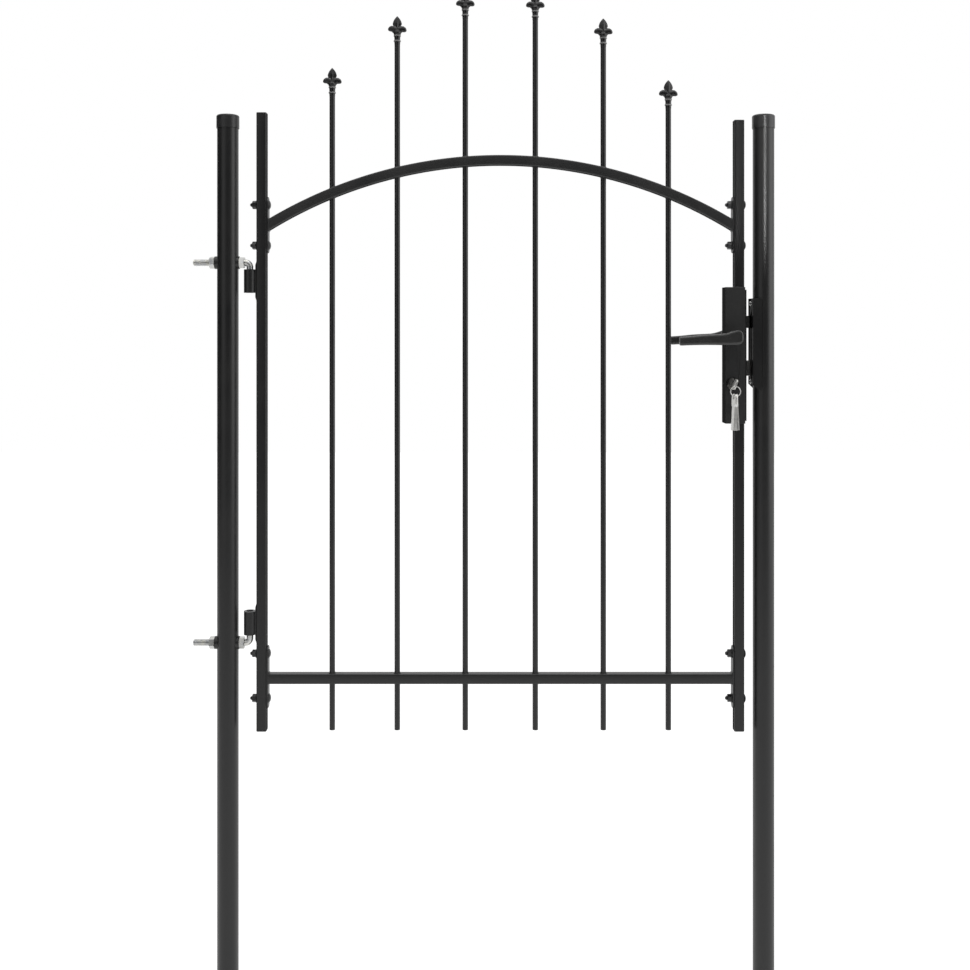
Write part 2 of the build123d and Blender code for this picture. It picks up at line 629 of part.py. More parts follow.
def make_lock():
    """The mortice lock: its faceplate, body, two bolts and cylinder."""
    half = FACEPLATE_WIDTH / 2
    low = CASE_MIDDLE - FACEPLATE_HEIGHT / 2
    high = CASE_MIDDLE + FACEPLATE_HEIGHT / 2
    faceplate = block((LEAF_RIGHT, -half, low), (FACEPLATE_FACE, half, high))
    body_half = LOCK_BODY_THICKNESS / 2
    foot = lock_body_foot()
    body = block(
        (LEAF_RIGHT - LOCK_BODY_DEPTH, -body_half, foot),
        (LEAF_RIGHT, body_half, foot + LOCK_BODY_HEIGHT),
    )
    for channel in lock_channels(FACEPLATE_FACE):
        faceplate -= channel
        body -= channel
    body -= rod_y(HUB_RADIUS + LOCK_FIT, LEVER_X, -CASE_FACE, CASE_FACE, LEVER_HEIGHT)
    body -= rod_y(CYLINDER_RADIUS + LOCK_FIT, CYLINDER_X, -CASE_FACE, CASE_FACE, CYLINDER_HEIGHT)
    save("lock_faceplate", faceplate)
    save("lock_body", body)

    tail = LEAF_RIGHT - DEAD_BOLT_TAIL
    nose = FACEPLATE_FACE + DEAD_BOLT_THROW
    size = (DEAD_BOLT_THICKNESS, DEAD_BOLT_HEIGHT, DEAD_BOLT_CENTRE)
    save("dead_bolt", bolt_space(tail, nose, *size, 0))

    edge = LATCH_THICKNESS / 2
    tail = LEAF_RIGHT - LATCH_TAIL
    nose = FACEPLATE_FACE + LATCH_THROW
    wedge = Polygon(
        (tail, -edge), (nose - LATCH_BEVEL, -edge), (nose, edge - LATCH_TIP), (nose, edge), (tail, edge),
        align=None,
    )
    latch = extrude(Pos(0, 0, LATCH_CENTRE - LATCH_HEIGHT / 2) * wedge, LATCH_HEIGHT)
    save("latch_bolt", latch)


def key_blank():
    """The key's outline: its bow, neck and blade, drawn with the neck's root at the origin."""
    bow_middle = KEY_NECK + KEY_BOW_LENGTH / 2
    bow = Pos(bow_middle, 0) * RectangleRounded(KEY_BOW_LENGTH, KEY_BOW_HEIGHT, KEY_BOW_RADIUS)
    shank = Pos(KEY_NECK + OVERLAP, 0) * Rectangle(
        KEY_NECK + OVERLAP + KEY_BLADE_LENGTH, KEY_BLADE_HEIGHT, align=(Align.MAX, Align.CENTER)
    )
    hole = Pos(KEY_NECK + KEY_BOW_LENGTH - KEY_HOLE_INSET, 0) * Circle(KEY_HOLE_RADIUS)
    return bow + shank - hole


def make_cylinder_and_key():
    """The lock cylinder through the case, and the key in its turning plug."""
    face = CASE_FACE + CYLINDER_PROUD
    axis = (CYLINDER_X, CYLINDER_HEIGHT)
    cylinder = rod_y(CYLINDER_RADIUS, axis[0], -face, face, axis[1])
    cylinder -= rod_y(PLUG_RADIUS + LOCK_FIT, axis[0], -face, -face + PLUG_LENGTH, axis[1])
    save("lock_cylinder", cylinder)

    mouth = -face - PLUG_PROUD
    plug = rod_y(PLUG_RADIUS, axis[0], mouth, -face + PLUG_LENGTH - LOCK_CLEARANCE, axis[1])
    seat = Pos(axis[0], mouth, axis[1]) * Rot(0, KEY_TILT, 0) * Rot(0, 0, -90) * Rot(90, 0, 0)
    slot_size = (KEY_BLADE_LENGTH + THREAD_CLEARANCE, KEY_BLADE_HEIGHT + 2 * THREAD_CLEARANCE)
    slot = Rectangle(slot_size[0] + OVERLAP, slot_size[1], align=(Align.MAX, Align.CENTER))
    slot_width = KEY_THICKNESS / 2 + THREAD_CLEARANCE
    plug -= seat * extrude(Pos(OVERLAP, 0) * slot, slot_width, both=True)
    save("cylinder_plug", plug)
    save("gate_key", seat * extrude(key_blank(), KEY_THICKNESS / 2, both=True))


def lever_arm_outline():
    """The arm seen from the front, about the spindle, with its free end towards -X."""
    root_top = (0, LEVER_ROOT_RISE)
    root_foot = (0, -LEVER_ROOT_DROP)
    waist = (-LEVER_ARM_LENGTH * LEVER_WAIST[0], LEVER_WAIST[1])
    span = (-LEVER_ARM_LENGTH * LEVER_SPAN[0], LEVER_SPAN[1])
    tip_top = (-LEVER_ARM_LENGTH, LEVER_TIP_RISE)
    tip_foot = (-LEVER_ARM_LENGTH, -LEVER_TIP_DROP)
    return in_gate_plane(
        Spline(root_top, waist, span, tip_top),
        Line(tip_top, tip_foot),
        Line(tip_foot, root_foot),
        ThreePointArc(root_foot, (LEVER_COLLAR_RADIUS, 0), root_top),
    )


def make_lever():
    """A lever on its collar, about the spindle, with the case's face at Y = 0 and its front at -Y."""
    collar = rod_y(LEVER_COLLAR_RADIUS, 0, -LEVER_COLLAR_LENGTH, -LEVER_RUNNING_GAP, 0)
    neck_start = -LEVER_ARM_START - OVERLAP
    neck = rod_y(LEVER_NECK_RADIUS, 0, neck_start, -LEVER_COLLAR_LENGTH + OVERLAP, 0)
    arm = Pos(0, -LEVER_ARM_START, 0) * extrude(lever_arm_outline(), LEVER_ARM_THICKNESS)
    arm = fillet(arm.faces().sort_by(Axis.Y)[0].edges(), LEVER_ROUNDING)
    socket_depth = SPINDLE_LENGTH / 2 - CASE_FACE + LOCK_CLEARANCE
    socket_size = SPINDLE_SIZE + 2 * THREAD_CLEARANCE
    half = socket_size / 2
    socket = block((-half, -socket_depth, -half), (half, 0, half))
    return collar + neck + arm - socket


def make_levers():
    front = Pos(LEVER_X, -CASE_FACE, LEVER_HEIGHT) * make_lever()
    save("front_lever", front)
    save("back_lever", mirror(front, about=Plane.XZ))
    spindle = Pos(LEVER_X, 0, LEVER_HEIGHT) * Box(SPINDLE_SIZE, SPINDLE_LENGTH, SPINDLE_SIZE)
    half = LOCK_BODY_THICKNESS / 2
    save("lever_spindle", spindle + rod_y(HUB_RADIUS, LEVER_X, -half, half, LEVER_HEIGHT))


def make_keeper():
    """A channel over the latch post's near side, whose flange edges bear on the post."""
    inner = math.sqrt(POST_RADIUS**2 - KEEPER_EDGE**2) + KEEPER_SEAT
    outer = inner + KEEPER_THICKNESS
    end = POST_SPACING - KEEPER_EDGE
    foot = DEAD_BOLT_CENTRE - DEAD_BOLT_HEIGHT / 2 - KEEPER_BELOW_BOLT
    top = LATCH_CENTRE + LATCH_HEIGHT / 2 + KEEPER_ABOVE_LATCH
    side = Polygon(
        (KEEPER_FACE, foot + KEEPER_CORNER),
        (KEEPER_FACE + KEEPER_CORNER, foot),
        (end, foot),
        (end, top),
        (KEEPER_FACE, top),
        align=None,
    )
    keeper = extrude(Plane.XZ * side, outer, both=True)
    keeper -= block((KEEPER_FACE + KEEPER_THICKNESS, -inner, foot), (end, inner, top))
    for slot in keeper_slots(KEEPER_FACE, KEEPER_FACE + KEEPER_THICKNESS):
        keeper -= slot
    save("keeper", keeper)


make_posts()
make_caps()
make_stiles()
make_rails()
make_bars()
make_end_plates()
make_plate_bolts()
make_hinges()
make_lock_case()
make_lock()
make_cylinder_and_key()
make_levers()
make_keeper()
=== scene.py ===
import json
import math
import random

import bmesh
import bpy
from mathutils import Matrix, Vector, noise


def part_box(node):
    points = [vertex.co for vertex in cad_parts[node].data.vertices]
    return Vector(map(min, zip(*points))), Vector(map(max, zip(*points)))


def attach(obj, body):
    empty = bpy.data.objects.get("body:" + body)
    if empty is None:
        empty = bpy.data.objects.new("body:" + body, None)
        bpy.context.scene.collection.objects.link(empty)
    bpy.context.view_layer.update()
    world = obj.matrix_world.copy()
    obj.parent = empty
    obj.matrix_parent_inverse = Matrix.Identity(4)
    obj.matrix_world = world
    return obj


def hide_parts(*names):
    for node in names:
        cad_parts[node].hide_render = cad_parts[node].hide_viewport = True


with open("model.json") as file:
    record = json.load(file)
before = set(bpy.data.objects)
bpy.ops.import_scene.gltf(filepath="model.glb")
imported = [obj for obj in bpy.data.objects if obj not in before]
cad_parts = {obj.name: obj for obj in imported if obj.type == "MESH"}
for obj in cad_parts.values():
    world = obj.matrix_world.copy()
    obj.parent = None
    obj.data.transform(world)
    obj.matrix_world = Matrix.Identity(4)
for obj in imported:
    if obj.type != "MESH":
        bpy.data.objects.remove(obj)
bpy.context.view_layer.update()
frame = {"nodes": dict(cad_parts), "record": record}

MM = 0.001
X, Z = 0, 2
rng = random.Random(11)
scene = bpy.context.scene


def span(node):
    """Lowest and highest corner of a CAD node in millimetres."""
    low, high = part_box(node)
    return low / MM, high / MM


def middle(node, axis):
    """Middle of a CAD node's box along one axis, in millimetres."""
    low, high = span(node)
    return (low[axis] + high[axis]) / 2


# Places read from the frame
stile_low, stile_high = span("hinge_stile")
upper_stile_low, upper_stile_high = span("latch_stile_upper")
lower_stile_low, lower_stile_high = span("latch_stile_lower")
rail_high = span("arched_rail")[1]
bottom_low, bottom_high = span("bottom_rail")
case_low, case_high = span("lock_case")
plate_low, plate_high = span("lock_faceplate")
upper_rod_low, upper_rod_high = span("upper_hinge_rod")
keeper_low, keeper_high = span("keeper")
cylinder_low = span("lock_cylinder")[0]

# Square tubes: half their width, and the radius of their corners
HALF = (stile_high.x - stile_low.x) / 2
CORNER = 2.4
STILE_X = stile_low.x + HALF
LATCH_X = upper_stile_low.x + HALF
LEAF_MIDDLE = (stile_low.x + upper_stile_high.x) / 2
BOTTOM_Z = middle("bottom_rail", Z)

# Bars and spear heads, from the hinge side
BARS = [middle(f"bar_{i}", X) for i in range(1, 7)]
TIPS = [span(f"spear_{i}")[1].z for i in range(1, 7)]
BAR_RADIUS = 5.0

# The arch's middle line
ARCH_RADIUS = 803.5
ARCH_CENTRE = rail_high.z - HALF - ARCH_RADIUS


def arch_height(x, rise=0.0):
    """Height of the arch's middle line at a place along X, or of a line that lies rise outside it."""
    return ARCH_CENTRE + math.sqrt((ARCH_RADIUS + rise) ** 2 - (x - LEAF_MIDDLE) ** 2)


# Posts, the saddle washers' thickness outside and inside the hinge post, and hinge rods
POST_RADIUS = 19.0
SADDLE_OUTER, SADDLE_INNER = 4.0, 2.0
ROD_RADIUS = 6.0
ROD_START = upper_rod_low.x
PIN_X = upper_rod_high.x - ROD_RADIUS
ROD_HEIGHTS = (upper_rod_high.z - ROD_RADIUS, span("lower_hinge_rod")[0].z + ROD_RADIUS)

# Lock: axes of the key and of the levers, which turn about the neck's round foot
KEY_X = middle("lock_cylinder", X)
KEY_Z = middle("lock_cylinder", Z)
LEVER_FOOT_RADIUS = 11.5
LEVER_X = span("front_lever")[1].x - LEVER_FOOT_RADIUS
LEVER_Z = middle("lever_spindle", Z)

# Plate bolts, two below and above the bottom rail, and two below and above the arch's end
LOWER_PLATE = middle("lower_end_plates", Z)
ARCH_END = arch_height(rail_high.x)
BOLT_HEIGHTS = (LOWER_PLATE - 39.0, LOWER_PLATE + 41.5, ARCH_END - 36.7, ARCH_END + 36.3)


# Materials
def noise_node(tree, coords, scale, detail, stretch=(1, 1, 1)):
    """A noise texture in the piece's own space."""
    mapping = tree.nodes.new("ShaderNodeMapping")
    mapping.inputs["Scale"].default_value = stretch
    tree.links.new(coords, mapping.inputs["Vector"])
    texture = tree.nodes.new("ShaderNodeTexNoise")
    texture.inputs["Scale"].default_value = scale
    texture.inputs["Detail"].default_value = detail
    tree.links.new(mapping.outputs["Vector"], texture.inputs["Vector"])
    return texture.outputs["Fac"]


def ramp_node(tree, factor, low, high, colours):
    """Turns a noise into a range of colours."""
    ramp = tree.nodes.new("ShaderNodeValToRGB")
    for element, place, colour in zip(ramp.color_ramp.elements, (low, high), colours):
        element.position = place
        element.color = (*colour, 1)
    tree.links.new(factor, ramp.inputs["Fac"])
    return ramp.outputs["Color"]


def make_material(slot, tones, rough, metal, specular, scales, depth, stretch=(1, 1, 1), graze=None):
    """A metal, coated or plastic finish: cloudy tone, uneven gloss and a fine relief.

    The scales are those of the clouds and of the grain, and depth is the relief's in millimetres.
    With graze the gloss falls off to that level where the surface is seen edge on.
    """
    material = bpy.data.materials.new(slot)
    material.use_nodes = True
    tree = material.node_tree
    shader = tree.nodes["Principled BSDF"]
    shader.inputs["Metallic"].default_value = metal
    shader.inputs["Specular IOR Level"].default_value = specular
    if graze is not None:
        facing = tree.nodes.new("ShaderNodeLayerWeight")
        facing.inputs["Blend"].default_value = 0.5
        level = tree.nodes.new("ShaderNodeMapRange")
        level.inputs["From Min"].default_value = 0.35
        level.inputs["From Max"].default_value = 0.78
        level.inputs["To Min"].default_value = specular
        level.inputs["To Max"].default_value = graze
        tree.links.new(facing.outputs["Facing"], level.inputs["Value"])
        tree.links.new(level.outputs["Result"], shader.inputs["Specular IOR Level"])
    coords = tree.nodes.new("ShaderNodeTexCoord").outputs["Object"]
    cloud = noise_node(tree, coords, scales[0], 4, stretch)
    tree.links.new(ramp_node(tree, cloud, 0.32, 0.68, tones), shader.inputs["Base Color"])
    fine = noise_node(tree, coords, scales[1], 3, stretch)
    gloss = tree.nodes.new("ShaderNodeMapRange")
    gloss.inputs["From Min"].default_value = 0.3
    gloss.inputs["From Max"].default_value = 0.7
    gloss.inputs["To Min"].default_value = rough[0]
    gloss.inputs["To Max"].default_value = rough[1]
    blend = tree.nodes.new("ShaderNodeMath")
    blend.operation = "MULTIPLY_ADD"
    blend.inputs[1].default_value = 0.35
    tree.links.new(fine, blend.inputs[0])
    share = tree.nodes.new("ShaderNodeMath")
    share.operation = "MULTIPLY"
    share.inputs[1].default_value = 0.65
    tree.links.new(cloud, share.inputs[0])
    tree.links.new(share.outputs[0], blend.inputs[2])
    tree.links.new(blend.outputs[0], gloss.inputs["Value"])
    tree.links.new(gloss.outputs["Result"], shader.inputs["Roughness"])
    bump = tree.nodes.new("ShaderNodeBump")
    bump.inputs["Strength"].default_value = 0.6
    bump.inputs["Distance"].default_value = depth * MM
    tree.links.new(fine, bump.inputs["Height"])
    tree.links.new(bump.outputs["Normal"], shader.inputs["Normal"])
    return material


# Pairs of tones, from dark to light, and the coat's gloss and grain
BLACK = ((0.0078, 0.0080, 0.0084), (0.0112, 0.0111, 0.0110))
# Painted light: a paler copy of the black coat for the lock case and the arch, which are the same coat lit
# brighter
PAINTED_LIGHT_BLACK = ((0.0235, 0.0238, 0.0242), (0.0295, 0.0293, 0.0289))
CASTING = ((0.006, 0.0062, 0.0066), (0.012, 0.0118, 0.0115))
# Painted highlight: pale tones on the spear collars, standing in for the light their rounds catch
COLLAR_PAINTED_HIGHLIGHT = ((0.17, 0.17, 0.168), (0.23, 0.228, 0.222))
FASTENER = ((0.009, 0.0092, 0.010), (0.016, 0.0158, 0.0155))
LEVER = ((0.0300, 0.0300, 0.0298), (0.0380, 0.0378, 0.0372))
PLASTIC = ((0.020, 0.020, 0.0205), (0.026, 0.026, 0.0262))
ZINC = ((0.48, 0.49, 0.51), (0.66, 0.65, 0.60))
STEEL = ((0.42, 0.42, 0.42), (0.56, 0.56, 0.55))
NICKEL = ((0.60, 0.60, 0.59), (0.72, 0.71, 0.68))
# Painted shade: nickel darkened to stand in for the dark surroundings that the lock cylinder reflects
PAINTED_SHADE_NICKEL = ((0.20, 0.20, 0.20), (0.27, 0.265, 0.26))
COAT_ROUGH, COAT_SCALES, COAT_DEPTH = (0.32, 0.42), (14, 700), 0.007
UPRIGHT = (1, 1, 0.06)
SIDEWAYS = (0.2, 1, 1)

# One finish for each slot of the record
MATERIALS = {
    "powder_coat": make_material("powder_coat", BLACK, COAT_ROUGH, 0, 0.48, COAT_SCALES, COAT_DEPTH),
    "cast_spear": make_material("cast_spear", CASTING, (0.22, 0.34), 0, 0.45, (90, 420), 0.03),
    "black_fastener": make_material("black_fastener", FASTENER, (0.26, 0.4), 0, 0.45, (160, 900), 0.03),
    "lever_coat": make_material("lever_coat", LEVER, (0.2, 0.3), 0, 0.5, (40, 900), 0.01),
    "cap_plastic": make_material("cap_plastic", PLASTIC, (0.3, 0.42), 0, 0.4, (60, 1400), 0.03),
    "zinc_steel": make_material("zinc_steel", ZINC, (0.26, 0.42), 1, 0.5, (120, 700), 0.012),
    "lock_steel": make_material("lock_steel", STEEL, (0.1, 0.2), 1, 0.5, (60, 500), 0.008, UPRIGHT),
    "lock_nickel": make_material("lock_nickel", NICKEL, (0.34, 0.48), 1, 0.5, (110, 600), 0.01, SIDEWAYS),
}

# Versions of a slot's finish, for the pieces and nodes that have one of their own; some of them carry
# painted light, painted shade or a painted highlight
UPRIGHT_COAT = make_material(
    "powder_coat_upright", BLACK, COAT_ROUGH, 0, 0.44, COAT_SCALES, COAT_DEPTH, graze=0.0
)
# The lock case and the arch get the paler copy of the coat: painted light
PAINTED_LIGHT_COAT = make_material(
    "powder_coat_painted_light", PAINTED_LIGHT_BLACK, COAT_ROUGH, 0, 0.44, COAT_SCALES, COAT_DEPTH, graze=0.0
)
# Lock cylinder and plug: polished nickel darkened as painted shade, for dark reflections
POLISHED_PAINTED_SHADE_NICKEL = make_material("lock_nickel_polished_painted_shade", PAINTED_SHADE_NICKEL, (0.08, 0.15), 1, 0.5, (110, 600), 0.002)
# The spear collars' pale coat is a painted highlight
COLLAR_PAINTED_HIGHLIGHT_COAT = make_material("cast_spear_collar_painted_highlight", COLLAR_PAINTED_HIGHLIGHT, (0.24, 0.36), 0, 0.5, (90, 420), 0.01)
FINISHES = {
    **{f"spear_collars_{index}": COLLAR_PAINTED_HIGHLIGHT_COAT for index in range(1, 7)},
    "lock_case": PAINTED_LIGHT_COAT,
    "arched_rail_tube": PAINTED_LIGHT_COAT,
    "keeper": UPRIGHT_COAT,
    "hinge_stile_tube": UPRIGHT_COAT,
    "latch_stile_tube_upper": UPRIGHT_COAT,
    "latch_stile_tube_lower": UPRIGHT_COAT,
    "lock_cylinder": POLISHED_PAINTED_SHADE_NICKEL,
    "cylinder_plug": POLISHED_PAINTED_SHADE_NICKEL,
}


# Meshes
def skin(bm, rings, at=None, closed=False):
    """Joins rings of points, all of one count, into a tube with closed ends or a closed loop."""
    place = at or Matrix.Identity(4)
    rows = [[bm.verts.new((place @ Vector(point)) * MM) for point in ring] for ring in rings]
    pairs = list(zip(rows, rows[1:]))
    if closed:
        pairs.append((rows[-1], rows[0]))
    for first, second in pairs:
        count = len(first)
        for i in range(count):
            j = (i + 1) % count
            bm.faces.new((first[i], first[j], second[j], second[i]))
    if not closed:
        bm.faces.new(rows[0][::-1])
        bm.faces.new(rows[-1])


def piece(name, bm, body, slot, replaces=(), voxel=0.0, relax=0, crease=32):
    """Makes an object of a mesh, fuses it where voxel is given, and hangs it on its body."""
    bmesh.ops.recalc_face_normals(bm, faces=bm.faces)
    mesh = bpy.data.meshes.new(name)
    bm.to_mesh(mesh)
    bm.free()
    obj = bpy.data.objects.new(name, mesh)
    scene.collection.objects.link(obj)
    if voxel:
        fuse = obj.modifiers.new("fuse", "REMESH")
        fuse.mode = "VOXEL"
        fuse.voxel_size = voxel * MM
        smooth = obj.modifiers.new("relax", "SMOOTH")
        smooth.factor = 0.5
        smooth.iterations = relax
        result = bpy.data.meshes.new_from_object(obj.evaluated_get(bpy.context.evaluated_depsgraph_get()))
        obj.modifiers.clear()
        obj.data = result
        bpy.data.meshes.remove(mesh)
        result.name = name
    obj.data.materials.clear()
    obj.data.materials.append(FINISHES.get(name, MATERIALS[slot]))
    obj.data.polygons.foreach_set("use_smooth", [True] * len(obj.data.polygons))
    if not voxel:
        obj.data.set_sharp_from_angle(angle=math.radians(crease))
    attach(obj, body)
    if replaces:
        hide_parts(*replaces)
    return obj


def along(origin, direction):
    """A placement whose Z axis points along a direction."""
    turn = Vector(direction).to_track_quat("Z", "Y").to_matrix().to_4x4()
    return Matrix.Translation(Vector(origin)) @ turn


def turns_of(count):
    """Even angles once around."""
    return [2 * math.pi * i / count for i in range(count)]


def circle(radius, height, count=32):
    """A ring of points around Z."""
    return [(radius * math.cos(a), radius * math.sin(a), height) for a in turns_of(count)]


def lathe(bm, profile, at=None, count=32, closed=False):
    """Turns a profile of (radius, height) about Z. A closed profile makes a ring."""
    skin(bm, [circle(max(radius, 0.02), height, count) for radius, height in profile], at, closed)


def rounded_square(half_u, half_v, radius, steps=5):
    """Points of a rectangle with rounded corners, anticlockwise."""
    points = []
    for sign_u, sign_v, start in ((1, 1, 0), (-1, 1, 90), (-1, -1, 180), (1, -1, 270)):
        for k in range(steps + 1):
            a = math.radians(start + 90 * k / steps)
            u = sign_u * (half_u - radius) + radius * math.cos(a)
            v = sign_v * (half_v - radius) + radius * math.sin(a)
            points.append((u, v))
    return points


def hexagon_nut(bm, flats, height, bore, at):
    """A nut with its corners chamfered on both faces, and its bore chamfered too."""
    count = 48
    bevel = 0.6
    apothem = flats / 2
    edge = apothem * 0.97
    slope = math.tan(math.radians(32))
    outer_low, outer_high = [], []
    for a in turns_of(count):
        from_flat = (a + math.pi / 6) % (math.pi / 3) - math.pi / 6
        radius = apothem / math.cos(from_flat)
        drop = (radius - edge) * slope
        outer_low.append((radius * math.cos(a), radius * math.sin(a), drop))
        outer_high.append((radius * math.cos(a), radius * math.sin(a), height - drop))
    rings = [
        circle(bore, bevel, count),
        circle(bore + bevel, 0, count),
        circle(edge, 0, count),
        outer_low,
        outer_high,
        circle(edge, height, count),
        circle(bore + bevel, height, count),
        circle(bore, height - bevel, count),
    ]
    skin(bm, rings, at, closed=True)


def thread_rings(start, end, radius, pitch, depth, count=20):
    """Rings of a helical thread along Z, six to a turn of the thread, with flat crests."""
    rings = []
    steps = max(2, int((end - start) / pitch * 6))
    for k in range(steps + 1):
        height = start + (end - start) * k / steps
        ring = []
        for i in range(count):
            a = 2 * math.pi * i / count
            phase = (height / pitch - i / count) % 1.0
            ridge = 1 - abs(2 * phase - 1)
            r = radius - depth * (1 - min(1.0, 1.35 * ridge))
            ring.append((r * math.cos(a), r * math.sin(a), height))
        rings.append(ring)
    return rings


def bead(bm, points, radius, closed=False, flat=0.8):
    """A weld bead along points: overlapping ripples of uneven size."""
    count = len(points)
    rings = []
    offset = Vector((rng.random(), rng.random(), rng.random())) * 50
    for k, point in enumerate(points):
        point = Vector(point)
        before = Vector(points[k - 1] if k or closed else points[k])
        after = Vector(points[(k + 1) % count] if k + 1 < count or closed else points[k])
        direction = (after - before).normalized()
        side = direction.orthogonal().normalized()
        up = direction.cross(side)
        ripple = 0.86 + 0.2 * abs(math.sin(0.9 * k)) + 0.18 * noise.noise(point * 0.35 + offset)
        if not closed:
            ripple *= min(1.0, 0.45 + 0.3 * min(k, count - 1 - k))
        r = radius * ripple
        rings.append([point + side * r * math.cos(a) + up * r * flat * math.sin(a) for a in turns_of(8)])
    skin(bm, rings, closed=closed)


def line_points(start, end, step=1.6):
    """Evenly spaced points between two ends."""
    start, end = Vector(start), Vector(end)
    count = max(3, int((end - start).length / step))
    return [start.lerp(end, k / count) for k in range(count + 1)]


def make_tubes():
    """Square tubes with rounded corners: stiles, bottom rail and arch. End plugs close the stiles."""
    profile = rounded_square(HALF, HALF, CORNER)
    rows = (
        ("hinge_stile_tube", STILE_X, stile_low.z, stile_high.z, "hinge_stile"),
        ("latch_stile_tube_upper", LATCH_X, upper_stile_low.z, upper_stile_high.z, "latch_stile_upper"),
        ("latch_stile_tube_lower", LATCH_X, lower_stile_low.z, lower_stile_high.z, "latch_stile_lower"),
    )
    for name, x, foot, top, node in rows:
        bm = bmesh.new()
        skin(bm, [[(x + u, v, z) for u, v in profile] for z in (foot, top)])
        piece(name, bm, "leaf", "powder_coat", (node,))

    bm = bmesh.new()
    skin(bm, [[(x, v, BOTTOM_Z + u) for u, v in profile] for x in (bottom_low.x, bottom_high.x)])
    piece("bottom_rail_tube", bm, "leaf", "powder_coat", ("bottom_rail",))

    bm = bmesh.new()
    rings = []
    reach = rail_high.x - LEAF_MIDDLE
    count = 96
    for k in range(count + 1):
        share = 2 * k / count - 1
        ring = []
        for u, v in profile:
            radius = ARCH_RADIUS + u
            a = share * math.asin(reach / radius)
            ring.append((LEAF_MIDDLE + radius * math.sin(a), v, ARCH_CENTRE + radius * math.cos(a)))
        rings.append(ring)
    skin(bm, rings)
    piece("arched_rail_tube", bm, "leaf", "powder_coat", ("arched_rail",))

    bm = bmesh.new()
    thickness = stile_low.z - span("stile_plugs")[0].z
    rows = (
        (STILE_X, stile_high.z, 1),
        (LATCH_X, upper_stile_high.z, 1),
        (STILE_X, stile_low.z, -1),
        (LATCH_X, stile_low.z, -1),
    )
    for x, z, way in rows:
        rings = []
        for inset, rise in ((0.25, 0), (0.0, 0.35), (0.0, 0.8), (0.5, 1.3), (1.6, thickness)):
            ring = rounded_square(HALF - inset, HALF - inset, CORNER)
            rings.append([(x + u, v, z + way * rise) for u, v in ring])
        skin(bm, rings)
    piece("stile_end_plugs", bm, "leaf", "cap_plastic", ("stile_plugs",))


# Cast spear heads
def leaf_rings():
    """The ridged middle leaf, from its tip down, in stations of (drop, half width, half depth)."""
    stations = (
        (0.0, 0.6, 0.6), (1.6, 1.9, 1.5), (3.6, 3.7, 2.4), (6.2, 5.6, 3.2),
        (9.2, 7.1, 3.8), (12.0, 8.0, 4.2), (14.4, 8.3, 4.3), (16.0, 7.7, 4.3),
        (17.4, 6.2, 4.2), (19.0, 4.6, 4.0), (25.0, 3.6, 3.6), (31.0, 3.0, 3.2),
    )
    rings = []
    for drop, w, t in stations:
        half = [(w, 0.45), (0.72 * w, 0.30 * t + 0.3), (0.36 * w, 0.56 * t + 0.2), (0.0, t)]
        back = half + [(-u, v) for u, v in half[-2::-1]]
        front = [(u, -v) for u, v in back[::-1]]
        rings.append([(u, v, -drop) for u, v in back + front])
    return rings


def blob_chain(bm, stations, at, count=20):
    """A rounded limb through stations of (x, z, radius in the gate's plane, radius across)."""
    rings = []
    for k, (x, z, r, ry) in enumerate(stations):
        before = stations[max(0, k - 1)]
        after = stations[min(len(stations) - 1, k + 1)]
        direction = Vector((after[0] - before[0], 0, after[1] - before[1])).normalized()
        up = Vector((-direction.z, 0, direction.x))
        ring = []
        for a in turns_of(count):
            ring.append(Vector((x, 0, z)) + up * r * math.cos(a) + Vector((0, ry * math.sin(a), 0)))
        rings.append(ring)
    skin(bm, rings, at)


# From the lobes down to the bar, as (radius, height above the tip)
SPEAR_NECK = (
    (5.0, -26.0), (7.2, -28.6), (7.0, -31.0), (6.1, -33.2), (5.8, -34.3), (5.8, -36.4), (5.5, -38.4),
    (5.4, -40.2), (5.4, -42.2), (5.6, -43.7), (5.6, -45.9), (5.25, -48.0), (5.3, -51.0),
)
COLLAR_HEIGHTS = (-35.3, -44.8)
COLLAR_PROFILE = ((5.0, 1.3), (6.1, 1.2), (6.6, 0.7), (6.75, 0.0), (6.6, -0.7), (6.1, -1.2), (5.0, -1.3))


def make_spears():
    """Leaf, two drooping lobes and neck fused into one head, each a little different, and two collars."""
    for index, (x, tip) in enumerate(zip(BARS, TIPS), 1):
        bm = bmesh.new()
        at = Matrix.Translation((x, 0, tip))
        skin(bm, leaf_rings(), at)
        left = rng.uniform(-0.4, 0.7)
        right = rng.uniform(-1.5, -0.3)
        for side, droop in ((-1, left), (1, right)):
            limb = [
                (-side * 1.5, -29.0, 4.8, 3.8),
                (side * 2.0, -26.6, 5.8, 4.2),
                (side * 4.8, -24.2, 6.5, 4.3),
                (side * 7.4, -23.0 + droop * 0.3, 6.0, 4.1),
                (side * 10.0, -22.8 + droop * 0.6, 5.6, 3.8),
                (side * 12.3, -23.6 + droop * 0.9, 4.9, 3.4),
                (side * 14.2, -24.7 + droop * 1.1, 3.8, 2.8),
                (side * 15.5, -25.5 + droop * 1.2, 2.4, 1.9),
                (side * 16.3, -26.0 + droop * 1.3, 0.8, 0.7),
            ]
            blob_chain(bm, limb, at)
        lathe(bm, SPEAR_NECK[::-1], at, 28)
        piece(f"spear_head_{index}", bm, "leaf", "cast_spear", (f"spear_{index}",), voxel=0.42, relax=2)
        bm = bmesh.new()
        for height in COLLAR_HEIGHTS:
            lathe(bm, [(r, height + z) for r, z in COLLAR_PROFILE], at, 28, closed=True)
        piece(f"spear_collars_{index}", bm, "leaf", "cast_spear")


